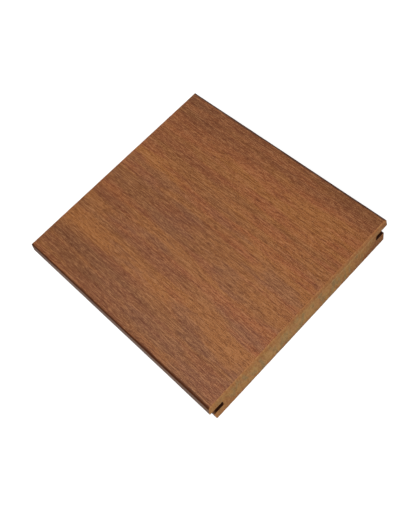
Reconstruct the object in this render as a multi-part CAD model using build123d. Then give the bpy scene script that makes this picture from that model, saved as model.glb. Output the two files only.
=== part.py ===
from build123d import *
import os

# Bamboo decking board: a short length of strand-woven board, milled from one solid blank.
# A clip groove runs along each long edge and the two ends are plain saw cuts.
# X runs across the width, Y along the grain and Z up, from the middle of the underside.

# Blank
board_width = 137.0
board_thickness = 20.0
board_length = 145.0

# Upper lip: bevelled along the walking face, with a side that leans out to an upright tip
upper_lip_height = 7.0
bevel_width = 0.9
bevel_drop = 0.7
lip_side_lean = 0.8
lip_tip_land = 1.0
lip_tip_radius = 0.3

# Clip groove, milled in from each long edge
groove_depth = 9.0
groove_height = 4.8
groove_corner_radius = 0.8

# Lower lip: set back, so that the clip's leg stands in the joint between two boards
lower_lip_setback = 2.0
lower_lip_bevel = 1.0
underside_edge_radius = 0.6

# Saw-cut ends, with the arris taken off along the top and the bottom
end_arris = 0.45

# Heights and distances from the centre line that follow from these
groove_ceiling = board_thickness - upper_lip_height
groove_floor = groove_ceiling - groove_height
lip_tip = board_width / 2
lip_top = lip_tip - lip_side_lean
groove_wall = lip_tip - groove_depth
lower_lip_face = lip_tip - lower_lip_setback


def half_section():
    """Corner points of the right half of the section, from the underside up to the walking face."""
    return [
        (0, 0),
        (lower_lip_face, 0),
        (lower_lip_face, groove_floor - lower_lip_bevel),
        (lower_lip_face - lower_lip_bevel, groove_floor),
        (groove_wall, groove_floor),
        (groove_wall, groove_ceiling),
        (lip_tip, groove_ceiling),
        (lip_tip, groove_ceiling + lip_tip_land),
        (lip_top, board_thickness - bevel_drop),
        (lip_top - bevel_width, board_thickness),
        (0, board_thickness),
    ]


def corners_at(sketch, distance, height):
    """The sketch's two mirrored corners at this distance from the centre line and this height."""
    return [
        corner
        for corner in sketch.vertices()
        if abs(abs(corner.X) - distance) < 1e-3 and abs(corner.Y - height) < 1e-3
    ]


def board_section():
    """The milled section: both halves, with the cutters' corner radii."""
    with BuildSketch() as section:
        with BuildLine():
            Polyline(*half_section())
            mirror(about=Plane.YZ)
        make_face()
        fillet(corners_at(section, groove_wall, groove_floor), groove_corner_radius)
        fillet(corners_at(section, groove_wall, groove_ceiling), groove_corner_radius)
        fillet(corners_at(section, lip_tip, groove_ceiling), lip_tip_radius)
        fillet(corners_at(section, lower_lip_face, 0), underside_edge_radius)
    return section.sketch


def decking_board():
    """The section run along the grain and cut square at both ends."""
    with BuildPart() as board:
        with BuildSketch(Plane.XZ):
            add(board_section())
        extrude(amount=board_length / 2, both=True)
        across = board.edges().filter_by(Axis.X)
        face_edges = across.group_by(Axis.Z)[0] + across.group_by(Axis.Z)[-1]
        chamfer(face_edges, end_arris)
    return board.part


os.makedirs("parts", exist_ok=True)
export_step(decking_board(), "parts/decking_board.step")
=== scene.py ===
import math

import bmesh
import bpy
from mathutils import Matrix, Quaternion, Vector


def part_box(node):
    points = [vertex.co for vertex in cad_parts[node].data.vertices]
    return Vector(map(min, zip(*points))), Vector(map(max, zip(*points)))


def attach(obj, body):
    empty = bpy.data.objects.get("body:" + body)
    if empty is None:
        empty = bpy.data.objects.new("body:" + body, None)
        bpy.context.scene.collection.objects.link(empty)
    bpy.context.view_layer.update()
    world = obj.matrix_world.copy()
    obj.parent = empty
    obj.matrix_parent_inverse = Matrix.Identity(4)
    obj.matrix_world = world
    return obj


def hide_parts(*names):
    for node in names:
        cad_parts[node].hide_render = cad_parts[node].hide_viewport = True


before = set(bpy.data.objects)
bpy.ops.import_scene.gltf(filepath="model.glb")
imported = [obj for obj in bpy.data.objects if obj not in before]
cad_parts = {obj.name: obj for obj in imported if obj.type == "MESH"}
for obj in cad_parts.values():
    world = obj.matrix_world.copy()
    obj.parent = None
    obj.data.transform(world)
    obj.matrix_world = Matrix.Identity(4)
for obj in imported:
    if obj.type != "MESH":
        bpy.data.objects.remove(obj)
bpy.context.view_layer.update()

# The board
# A short cut length of strand-woven bamboo decking. Long fibre bundles are soaked in resin, pressed
# into a solid block and milled on all four long sides, with a clip groove along each side. The faces
# are oiled, the sides and grooves are sealed dark, with painted shade deep in the grooves and on the
# lower lip's sides, and the two ends are bare saw cuts.

MM = 0.001

# Cells of the fine mesh, across, along and up
cell_size = (0.55 * MM, 1.6 * MM, 0.55 * MM)

# Places on the milled section, from the middle of the underside
lip_edge = 66.8 * MM
groove_wall = 59.5 * MM
groove_floor = 8.2 * MM
groove_ceiling = 13.0 * MM
bevel_foot = 19.3 * MM


class Wire:
    """A socket in a node tree: arithmetic on it adds Math nodes, and node() adds any other node."""

    def __init__(self, tree, socket=None):
        self.tree = tree
        self.socket = socket

    def node(self, kind, settings, inputs, output=0):
        """Adds a node: first its settings, then a value or a link for each of these sockets.
        An output node, where the tree ends, has nothing to give back."""
        made = self.tree.nodes.new(kind)
        for name, value in settings.items():
            if name == "stops":
                self.set_stops(made.color_ramp, value)
            else:
                setattr(made, name, value)
        for name, value in inputs.items():
            if isinstance(value, Wire):
                self.tree.links.new(value.socket, made.inputs[name])
            else:
                made.inputs[name].default_value = value
        if made.outputs:
            return Wire(self.tree, made.outputs[output])

    def set_stops(self, ramp, stops):
        """Gives a colour ramp its stops, each a place from 0 to 1 and a grey tone."""
        ramp.interpolation = "EASE"
        while len(ramp.elements) < len(stops):
            ramp.elements.new(1.0)
        for element, (place, tone) in zip(ramp.elements, stops):
            element.position = place
            element.color = (tone, tone, tone, 1.0)

    def output(self, name):
        """Another output of the same node."""
        return Wire(self.tree, self.socket.node.outputs[name])

    def maths(self, operation, first, second=0.0):
        """A Math node on one or two values, each a wire or a plain number."""
        return self.node("ShaderNodeMath", {"operation": operation}, {0: first, 1: second})

    def __add__(self, other):
        return self.maths("ADD", self, other)

    def __radd__(self, other):
        return self.maths("ADD", other, self)

    def __sub__(self, other):
        return self.maths("SUBTRACT", self, other)

    def __rsub__(self, other):
        return self.maths("SUBTRACT", other, self)

    def __mul__(self, other):
        return self.maths("MULTIPLY", self, other)

    def __truediv__(self, other):
        return self.maths("DIVIDE", self, other)

    def __abs__(self):
        return self.maths("ABSOLUTE", self)


def ramped(value, low, high):
    """0 where the value is at low, 1 where it is at high, and smooth between."""
    settings = {"interpolation_type": "SMOOTHSTEP"}
    inputs = {"Value": value, "From Min": low, "From Max": high}
    return value.node("ShaderNodeMapRange", settings, inputs)


def either(first, second):
    """The higher of two masks."""
    return first.maths("MAXIMUM", first, second)


def blended(share, under, over):
    """The colour over laid on the colour under, by this share."""
    settings = {"data_type": "RGBA"}
    return share.node("ShaderNodeMix", settings, {0: share, 6: under, 7: over}, output=2)


# How far each step of a pattern's seed moves it, in its own units
seed_steps = (7.31, 3.17, 5.77)


def drawn_out(place, sizes, seed):
    """Coordinates in which a pattern's unit has these sizes in millimetres across, along and up."""
    settings = {"operation": "MULTIPLY_ADD"}
    scale = tuple(1 / (size * MM) for size in sizes)
    shift = tuple(seed * step for step in seed_steps)
    return place.node("ShaderNodeVectorMath", settings, {0: place, 1: scale, 2: shift})


def grain(place, sizes, seed, detail=2.0):
    """Noise with its clumps drawn out to these sizes."""
    inputs = {"Vector": drawn_out(place, sizes, seed), "Scale": 1.0, "Detail": detail}
    return place.node("ShaderNodeTexNoise", {}, inputs)


def flecks(place, sizes, seed, share, reach):
    """Separate drawn-out flecks of this reach, one in each cell of these sizes that is picked. The
    share says how many are. A fleck is full within two fifths of its reach and fades from there."""
    picking_edge = 0.02
    full_reach = reach * 0.4
    inputs = {"Vector": drawn_out(place, sizes, seed), "Scale": 1.0}
    cells = place.node("ShaderNodeTexVoronoi", {}, inputs, "Distance")
    lot = place.node("ShaderNodeSeparateColor", {}, {0: cells.output("Color")})
    picked = ramped(lot, 1 - share, 1 - share + picking_edge)
    return ramped(cells, reach, full_reach) * picked


def fine_mesh(cad_node):
    """A merged copy of the milled shape, cut into cells small enough to carry the relief."""
    same_place = 0.001 * MM
    flat = math.radians(1)
    board = bmesh.new()
    board.from_mesh(cad_node.data)
    bmesh.ops.remove_doubles(board, verts=board.verts, dist=same_place)
    bmesh.ops.dissolve_limit(board, angle_limit=flat, verts=board.verts, edges=board.edges)
    low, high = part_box(cad_node.name)
    for axis in (0, 2, 1):
        normal = Vector((0.0, 0.0, 0.0))
        normal[axis] = 1.0
        cuts = round((high[axis] - low[axis]) / cell_size[axis])
        for cut in range(1, cuts):
            bmesh.ops.bisect_plane(
                board,
                geom=board.verts[:] + board.edges[:] + board.faces[:],
                dist=same_place,
                plane_co=low.lerp(high, cut / cuts),
                plane_no=normal,
            )
    mesh = bpy.data.meshes.new("decking_board")
    board.to_mesh(mesh)
    board.free()
    return mesh


# Colours of the fibre, oiled, sealed and bare
golden_fibre = (0.311, 0.109, 0.025, 1.0)
russet_fibre = (0.289, 0.078, 0.026, 1.0)
umber_fibre = (0.130, 0.042, 0.014, 1.0)
plum_fibre = (0.190, 0.080, 0.046, 1.0)
plum_shade = (0.120, 0.045, 0.025, 1.0)
dark_vein = (0.085, 0.020, 0.004, 1.0)
pale_fibre = (0.500, 0.235, 0.095, 1.0)
sealer = (0.050, 0.012, 0.003, 1.0)
dusty_sealer = (0.118, 0.052, 0.022, 1.0)
# Near black: painted shade deep in the clip grooves, laid over the real sealer.
groove_painted_shade = (0.020, 0.004, 0.001, 1.0)
bare_olive = (0.420, 0.217, 0.072, 1.0)
bare_russet = (0.390, 0.158, 0.056, 1.0)
bare_umber = (0.215, 0.078, 0.031, 1.0)
bare_pale = (0.560, 0.330, 0.140, 1.0)
bare_grey = (0.265, 0.190, 0.085, 1.0)

# Bands of darker strands in the walking face: each a place across, from 0 to 1, and its darkness
face_bands = [
    (0.00, 0.45),
    (0.05, 0.60),
    (0.12, 0.70),
    (0.165, 0.45),
    (0.205, 0.00),
    (0.25, 0.15),
    (0.29, 0.55),
    (0.34, 0.25),
    (0.40, 0.45),
    (0.50, 0.30),
    (0.56, 0.20),
    (0.62, 0.00),
    (0.70, 0.15),
    (0.82, 0.20),
    (0.89, 0.35),
    (0.94, 0.65),
    (1.00, 0.75),
]


def new_finish(name):
    """An empty material, and the wire of the piece's own coordinates in it."""
    material = bpy.data.materials.new(name)
    material.use_nodes = True
    material.node_tree.nodes.clear()
    return material, Wire(material.node_tree).node("ShaderNodeTexCoord", {}, {}, "Object")


def finish_with(place, colour, roughness, height, depth, specular):
    """The wood's surface: its colour, its gloss, and a bump of this depth in millimetres."""
    bump = place.node("ShaderNodeBump", {}, {"Distance": depth * MM, "Height": height}, "Normal")
    inputs = {
        "Base Color": colour,
        "Roughness": roughness,
        "Normal": bump,
        "Specular IOR Level": specular,
    }
    wood = place.node("ShaderNodeBsdfPrincipled", {}, inputs)
    wood.node("ShaderNodeOutputMaterial", {}, {"Surface": wood})


# How strongly each kind of fibre and mark tints the milled wood
russet_share = 0.74
plum_share = 0.45
bundle_share = 0.28
strand_share = 0.06
dark_fibre_share = 0.76
pale_fibre_share = 0.52
vein_share = 0.65
pore_share = 0.75

# How much of each length of fine fibre is in the pattern, and how far fibres stand up in the bump and
# veins sink, as a share of its depth
speck_mix = 0.34
short_fibre_mix = 0.37
long_fibre_mix = 0.29
bump_share = 0.6

# How far the bands wander sideways, and how strong they are at the near end and by how much more at
# the far one. How much redder the wood gets for each metre to the right, and at the left edge.
band_wander = 7 * MM
near_bands = 0.4
far_bands_gain = 0.8
red_slope = 1.2
left_red = 0.20


def pressed_fibre(place, across, along):
    """The colour of milled and oiled fibre, and how far its fine fibres stand up."""
    wander = grain(place, (30, 90, 12), seed=1, detail=1.0) - 0.5
    band_place = (across + wander * band_wander) / (2 * lip_edge) + 0.5
    bands = place.node("ShaderNodeValToRGB", {"stops": face_bands}, {0: band_place})
    bands = bands * ramped(grain(place, (7, 70, 7), seed=2, detail=3.0), 0.20, 0.60)
    far_end = ramped(along, -70 * MM, 60 * MM)
    right_edge = ramped(across, 40 * MM, 55 * MM)
    bands = bands * either(far_end * far_bands_gain + near_bands, right_edge)

    reds = grain(place, (6, 50, 6), seed=3, detail=1.5) + across * red_slope
    reds = reds + ramped(across, -48 * MM, -62 * MM) * left_red
    reds = ramped(reds, 0.42, 0.62)
    middle = ramped(abs(across + 30 * MM), 70 * MM, 30 * MM)
    middle = middle * ramped(along - across, 130 * MM, 60 * MM)
    plum = ramped(grain(place, (8, 34, 8), seed=9, detail=2.0), 0.46, 0.62) * middle
    bundles = ramped(grain(place, (5, 90, 5), seed=24, detail=1.0), 0.46, 0.60)
    strands = ramped(grain(place, (1.4, 40, 1.6), seed=4, detail=2.0), 0.45, 0.68)
    specks = grain(place, (0.24, 0.6, 0.4), seed=25, detail=1.0)
    short_fibres = grain(place, (0.22, 3.4, 0.4), seed=5, detail=1.0)
    long_fibres = grain(place, (0.22, 13, 0.4), seed=15, detail=1.0)
    fibres = specks * speck_mix + short_fibres * short_fibre_mix + long_fibres * long_fibre_mix
    dark_fibres = ramped(fibres, 0.50, 0.59)
    pale_fibres = ramped(fibres, 0.50, 0.41)
    vein_clusters = ramped(grain(place, (9, 30, 9), seed=23), 0.40, 0.62)
    veins = flecks(place, (0.6, 3.2, 0.6), seed=6, share=0.40, reach=0.34) * vein_clusters
    pores = flecks(place, (1.6, 2.4, 1.6), seed=21, share=0.03, reach=0.28)

    shade = blended(middle, umber_fibre, plum_shade)
    colour = blended(reds * russet_share, golden_fibre, russet_fibre)
    colour = blended(plum * plum_share, colour, plum_fibre)
    colour = blended(bands, colour, shade)
    colour = blended(bundles * bundle_share, colour, umber_fibre)
    colour = blended(strands * strand_share, colour, umber_fibre)
    colour = blended(dark_fibres * dark_fibre_share, colour, dark_vein)
    colour = blended(pale_fibres * pale_fibre_share, colour, pale_fibre)
    colour = blended(either(veins * vein_share, pores * pore_share), colour, dark_vein)
    height = fibres * bump_share - veins * bump_share
    return colour, height


def oiled_finish():
    """The walking face and the underside, milled and oiled, with sealer soaked in at the edges."""
    material, place = new_finish("oiled_bamboo")
    spot = place.node("ShaderNodeSeparateXYZ", {}, {0: place})
    across, along = spot, spot.output("Y")
    colour, height = pressed_fibre(place, across, along)

    right_soak = 0.3 * MM
    left_soak_slope = 0.007
    soak_wander = 2.0 * MM
    soaked_share = 0.75
    on_right = ramped(across, -1.0 * MM, 1.0 * MM)
    soaked = abs(across) + on_right * right_soak - along * (1 - on_right) * left_soak_slope
    soaked = soaked + (grain(place, (3, 25, 3), seed=19) - 0.5) * soak_wander
    soaked = ramped(soaked, lip_edge - 0.5 * MM, lip_edge + 0.1 * MM)
    colour = blended(soaked * soaked_share, colour, sealer)
    roughness = 0.36 + height * 0.10
    finish_with(place, colour, roughness, height, depth=0.03, specular=0.15)
    return material


def sealed_finish():
    """The sides, their bevels and the clip grooves, sealed dark, with dust on the open sides. Deep in
    the grooves and on the lower lip's side the colour is darkened further as painted shade.
    """
    material, place = new_finish("sealed_bamboo")
    spot = place.node("ShaderNodeSeparateXYZ", {}, {0: place})
    across, along, up = spot, spot.output("Y"), spot.output("Z")
    colour, height = pressed_fibre(place, across, along)

    # The lower lip's side keeps only this share of the dust, so it stays dark: partly the real
    # sealer, partly painted shade under the upper lip.
    shaded_lower_side_dust = 0.3
    rim_wear = 0.7
    thinnest_cover = 0.83
    cover_spread = 0.24
    groove_shade_share = 0.90
    # Painted shade: from about two millimetres inside the lip's edge, the grooves are darkened almost
    # to black.
    in_groove = ramped(abs(across), 66.4 * MM, 64.6 * MM)
    below_bevel = ramped(up, bevel_foot + 0.1 * MM, bevel_foot - 0.3 * MM)
    # Painted shade: below the groove the side gets less dust and stays darker.
    above_lower_side = ramped(up, groove_floor - 1.3 * MM, groove_floor - 0.9 * MM)
    dust_and_painted_shade = below_bevel * (above_lower_side * (1 - shaded_lower_side_dust) + shaded_lower_side_dust)
    dust_and_painted_shade = dust_and_painted_shade * ramped(grain(place, (2.0, 14, 2.0), seed=8), 0.20, 0.60)
    rim = ramped(up, bevel_foot + 0.45 * MM, bevel_foot + 0.70 * MM)
    rim = rim * ramped(along, -40 * MM, 15 * MM) * ramped(across, 1.0 * MM, -1.0 * MM)
    cover = grain(place, (0.6, 10, 0.6), seed=18) * cover_spread + thinnest_cover

    colour = blended(cover * (1.0 - rim * rim_wear), colour, sealer)
    colour = blended(dust_and_painted_shade, colour, dusty_sealer)
    colour = blended(in_groove * groove_shade_share, colour, groove_painted_shade)
    roughness = 0.5 + in_groove * 0.4
    finish_with(place, colour, roughness, height, depth=0.04, specular=0.06)
    return material


# How strongly each tone and mark tints the bare ends. The oil's share is that of the middle, and it
# grows to the right by its slope for each metre.
russet_blotch_share = 0.70
streak_share = 0.40
pale_heart_share = 0.30
grey_share = 0.65
red_corner_share = 0.70
oil_share = 0.70
oil_slope = 4
dry_line_share = 0.40
dark_corner_share = 0.85
# The foot's share is painted shade along the bottom of each cut end, where it meets the floor.
painted_foot_shade_share = 0.65
soaked_arris_share = 0.22
dark_bundle_share = 0.35
pale_bundle_share = 0.30

# The bundles' lean from upright in the cut face, in radians, and how far the tint of its two lower
# corners draws back towards them for each step up. How far the depth of the soaked oil wanders.
bundle_lean = 0.05
corner_slope = -1.5
oil_wander = 3.0 * MM


def sawn_finish():
    """Bare saw-cut ends: fibre bundles in cross section, with the oil soaked in along the top and
    painted shade along the foot, where they meet the floor.
    """
    material, place = new_finish("sawn_bamboo")
    spot = place.node("ShaderNodeSeparateXYZ", {}, {0: place})
    across, up = spot, spot.output("Z")

    settings = {"rotation_type": "Y_AXIS"}
    lean = place.node("ShaderNodeVectorRotate", settings, {0: place, 3: bundle_lean})
    blotches = ramped(grain(lean, (7, 40, 7.0), seed=11, detail=3.0), 0.42, 0.62)
    streaks = ramped(grain(lean, (2.4, 60, 9.0), seed=12, detail=2.0), 0.45, 0.68)
    greys = ramped(grain(lean, (3.0, 60, 10.0), seed=17, detail=2.0), 0.50, 0.66)
    bundles = grain(lean, (0.7, 20, 1.4), seed=13, detail=2.0)
    oiled_depth = up + (grain(place, (14, 60, 6), seed=14) - 0.5) * oil_wander
    oiled_layer = ramped(oiled_depth, 15.6 * MM, 16.6 * MM)
    dry_line = ramped(abs(oiled_depth - 15.2 * MM), 0.9 * MM, 0.3 * MM)
    dry_line = dry_line * ramped(across, -20 * MM, 30 * MM)
    dark_corner = ramped(across + up * corner_slope, 25 * MM, 54 * MM)
    red_corner = ramped(across * -1 + up * corner_slope, 32 * MM, 60 * MM)
    # Painted shade: the end darkens over its lowest two millimetres, towards the floor.
    painted_foot_shade = ramped(up, 2.2 * MM, 0.1 * MM)
    soaked_arris = ramped(up, 19.4 * MM, 19.6 * MM)
    pale_heart = ramped(abs(across + 14 * MM), 50 * MM, 10 * MM)
    pale_heart = pale_heart * ramped(abs(up - 9 * MM), 8 * MM, 2 * MM)

    colour = blended(blotches * russet_blotch_share, bare_olive, bare_russet)
    colour = blended(streaks * streak_share, colour, bare_umber)
    colour = blended(pale_heart * pale_heart_share, colour, bare_pale)
    colour = blended(greys * grey_share, colour, bare_grey)
    colour = blended(red_corner * red_corner_share, colour, bare_russet)
    colour = blended(oiled_layer * (across * oil_slope + oil_share), colour, bare_russet)
    colour = blended(dry_line * dry_line_share, colour, bare_pale)
    shaded = either(painted_foot_shade * painted_foot_shade_share, soaked_arris * soaked_arris_share)
    shaded = either(dark_corner * dark_corner_share, shaded)
    colour = blended(shaded, colour, bare_umber)
    colour = blended(ramped(bundles, 0.50, 0.68) * dark_bundle_share, colour, bare_umber)
    colour = blended(ramped(bundles, 0.50, 0.32) * pale_bundle_share, colour, bare_pale)
    roughness = 0.62 + bundles * 0.2
    finish_with(place, colour, roughness, bundles, depth=0.06, specular=0.03)
    return material


# A face is an end or a side where its normal reaches this far along or across, and the bevels are
# sides too. The grooves are taken this much wider than they are milled, with the lower lip's bevel.
end_facing = 0.5
side_facing = 0.4
groove_margin = 0.1 * MM
lower_bevel_foot = 7.2 * MM

# How far below the underside the saw's centre ran, as a share of its radius
saw_drop = 0.8


def relief_tree(oiled, sealed, sawn):
    """The relief that milling and sawing leave in pressed strands, and the finish of each face."""
    tree = bpy.data.node_groups.new("milled_and_sawn_relief", "GeometryNodeTree")
    sizes = {
        "Strand width": 2.6 * MM,
        "Strand length": 38 * MM,
        "Strand relief": 0.05 * MM,
        "Fibre width": 1.1 * MM,
        "Fibre length": 9 * MM,
        "Fibre relief": 0.03 * MM,
        "Saw radius": 150 * MM,
        "Saw mark pitch": 2.1 * MM,
        "Saw mark depth": 0.04 * MM,
        "Seed": 4.0,
    }
    sockets = tree.interface
    sockets.new_socket("Board", in_out="INPUT", socket_type="NodeSocketGeometry")
    for name in sizes:
        sockets.new_socket(name, in_out="INPUT", socket_type="NodeSocketFloat")
    sockets.new_socket("Board", in_out="OUTPUT", socket_type="NodeSocketGeometry")

    start = Wire(tree).node("NodeGroupInput", {}, {}, "Board")
    size = {name: start.output(name) for name in sizes}
    place = start.node("GeometryNodeInputPosition", {}, {})
    normal = start.node("GeometryNodeInputNormal", {}, {})
    spot = start.node("ShaderNodeSeparateXYZ", {}, {0: place})
    across, along, up = spot, spot.output("Y"), spot.output("Z")
    facing = start.node("ShaderNodeSeparateXYZ", {}, {0: normal})
    is_end = start.maths("GREATER_THAN", abs(facing.output("Y")), end_facing)
    is_side = start.maths("GREATER_THAN", abs(facing), side_facing)
    in_groove = start.maths("GREATER_THAN", abs(across), groove_wall - groove_margin)
    in_groove = in_groove * start.maths("GREATER_THAN", up, lower_bevel_foot - groove_margin)
    in_groove = in_groove * start.maths("LESS_THAN", up, groove_ceiling + groove_margin)

    def ripple(width, length, offset):
        """Waves of this width and length. The offset sets one pattern apart from the others."""
        scaled = {"X": across / width, "Y": along / length, "Z": up / width + size["Seed"] * offset}
        drawn = start.node("ShaderNodeCombineXYZ", {}, scaled)
        return start.node("ShaderNodeTexNoise", {}, {"Vector": drawn, "Scale": 1.0, "Detail": 1.0})

    strands = ramped(ripple(size["Strand width"], size["Strand length"], offset=3.3), 0.3, 0.7)
    fibres = ramped(ripple(size["Fibre width"], size["Fibre length"], offset=5.1), 0.25, 0.75)
    milled = strands * size["Strand relief"] + fibres * size["Fibre relief"]

    saw_height = up + size["Saw radius"] * saw_drop
    reach = start.maths("SQRT", across * across + saw_height * saw_height)
    bundles = ramped(ripple(size["Fibre width"], size["Strand length"], offset=8.7), 0.3, 0.7)
    turn = reach / size["Saw mark pitch"] * math.tau + bundles
    wave = start.maths("SINE", turn) * 0.5 + 0.5
    sawn_depth = wave * size["Saw mark depth"] + bundles * size["Fibre relief"]

    depth = start.node("ShaderNodeMix", {}, {0: is_end, 2: milled, 3: sawn_depth})
    settings = {"operation": "SCALE"}
    inward = start.node("ShaderNodeVectorMath", settings, {0: normal, "Scale": 0.0 - depth})
    moved = start.node("GeometryNodeSetPosition", {}, {"Geometry": start, "Offset": inward})
    real = start.node("GeometryNodeRealizeInstances", {}, {0: moved})
    faces = start.node("GeometryNodeSetMaterial", {}, {"Geometry": real, "Material": oiled})
    on_side = {"Geometry": faces, "Selection": either(is_side, in_groove), "Material": sealed}
    sides = start.node("GeometryNodeSetMaterial", {}, on_side)
    on_end = {"Geometry": sides, "Selection": is_end, "Material": sawn}
    ends = start.node("GeometryNodeSetMaterial", {}, on_end)
    ends.node("NodeGroupOutput", {}, {"Board": ends})
    return tree, sizes


crease_angle = math.radians(25)
blank = bpy.data.objects.new("board_blank", fine_mesh(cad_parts["decking_board"]))
bpy.context.scene.collection.objects.link(blank)
tree, sizes = relief_tree(oiled_finish(), sealed_finish(), sawn_finish())
relief = blank.modifiers.new("relief", "NODES")
relief.node_group = tree
for item in tree.interface.items_tree:
    if item.in_out == "INPUT" and item.name in sizes:
        relief[item.identifier] = sizes[item.name]
depsgraph = bpy.context.evaluated_depsgraph_get()
mesh = bpy.data.meshes.new_from_object(blank.evaluated_get(depsgraph), depsgraph=depsgraph)
bpy.data.objects.remove(blank)
mesh.shade_smooth()
mesh.set_sharp_from_angle(angle=crease_angle)
board = bpy.data.objects.new("strand_woven_board", mesh)
bpy.context.scene.collection.objects.link(board)
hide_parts("decking_board")
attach(board, "root")

# The floor
# A wide matt white table that the board lies on. It takes the board's soft shadow, and to the camera
# it is bright enough to be plain white elsewhere.

floor_reach = 3.0
floor_grey = (0.45, 0.45, 0.45, 1.0)
floor_lift = 0.78
floor_mesh = bpy.data.meshes.new("white_floor")
corners = [(-floor_reach, -floor_reach, 0), (floor_reach, -floor_reach, 0)]
corners += [(floor_reach, floor_reach, 0), (-floor_reach, floor_reach, 0)]
floor_mesh.from_pydata(corners, [], [(0, 1, 2, 3)])
floor = bpy.data.objects.new("white_floor", floor_mesh)
bpy.context.scene.collection.objects.link(floor)


def seen_directly(wire):
    """1 for rays from the camera and rays that a glossy or a clear surface sends on."""
    path = wire.node("ShaderNodeLightPath", {}, {}, "Is Camera Ray")
    return either(path, either(path.output("Is Glossy Ray"), path.output("Is Transmission Ray")))


def floor_finish():
    """Matt white, lifted to a plain white background where it is seen."""
    material = bpy.data.materials.new("matt_white")
    material.use_nodes = True
    tree = material.node_tree
    tree.nodes.clear()
    start = Wire(tree)
    matt = start.node("ShaderNodeBsdfDiffuse", {}, {"Color": floor_grey})
    lift = start.node("ShaderNodeEmission", {}, {"Strength": seen_directly(start) * floor_lift})
    both = start.node("ShaderNodeAddShader", {}, {0: matt, 1: lift})
    both.node("ShaderNodeOutputMaterial", {}, {"Surface": both})
    return material


floor_mesh.materials.append(floor_finish())

# The light
# A pale room that lights the board from all round, one large soft lamp above it on the camera's
# side, and one straight overhead. Together they show a colour on a flat face as it is.

room_light = 0.46
room_white = (1.0, 1.0, 1.0, 1.0)

# Each lamp's place, the side of its square, and how much it lights a flat face by itself
lamps = {
    "side_lamp": (Vector((-0.60, -0.55, 0.75)), 0.50, 0.40),
    "top_lamp": (Vector((0.05, 0.30, 1.00)), 0.35, 0.16),
}

world = bpy.data.worlds.new("pale_room")
world.use_nodes = True
world.node_tree.nodes.clear()
room = Wire(world.node_tree)
strength = seen_directly(room) * (1.0 - room_light) + room_light
tint = {"Color": room_white, "Strength": strength}
background = room.node("ShaderNodeBackground", {}, tint)
background.node("ShaderNodeOutputWorld", {}, {"Surface": background})
bpy.context.scene.world = world

for name, (place, side, share) in lamps.items():
    lamp_data = bpy.data.lights.new(name, "AREA")
    lamp_data.shape = "SQUARE"
    lamp_data.size = side
    slant = place.z / place.length
    lamp_data.energy = share * math.pi ** 2 * place.length_squared / slant
    lamp = bpy.data.objects.new(name, lamp_data)
    lamp.location = place
    lamp.rotation_mode = "QUATERNION"
    lamp.rotation_quaternion = (-place).to_track_quat("-Z", "Y")
    bpy.context.scene.collection.objects.link(lamp)

# The camera
# It looks down on the board from the left of its near end, and is turned about its own line of
# sight so that the board lies askew, with its cut end at the lower right.

camera_place = Vector((-0.091136, -0.182996, 0.354120))
camera_aim = Vector((-0.007804, -0.013573, 0.019950))
camera_roll = math.radians(-21.87)
sensor = 36.0
focal_pixels = 713.8
long_side_pixels = 512

camera_data = bpy.data.cameras.new("camera")
camera_data.sensor_width = sensor
camera_data.lens = focal_pixels * sensor / long_side_pixels
camera_data.clip_start = 0.01
camera_data.clip_end = 20
camera = bpy.data.objects.new("camera", camera_data)
camera.location = camera_place
camera.rotation_mode = "QUATERNION"
level = (camera_aim - camera_place).to_track_quat("-Z", "Y")
camera.rotation_quaternion = level @ Quaternion((0, 0, 1), camera_roll)
bpy.context.scene.collection.objects.link(camera)
bpy.context.scene.camera = camera
bpy.context.scene.view_settings.view_transform = "Standard"
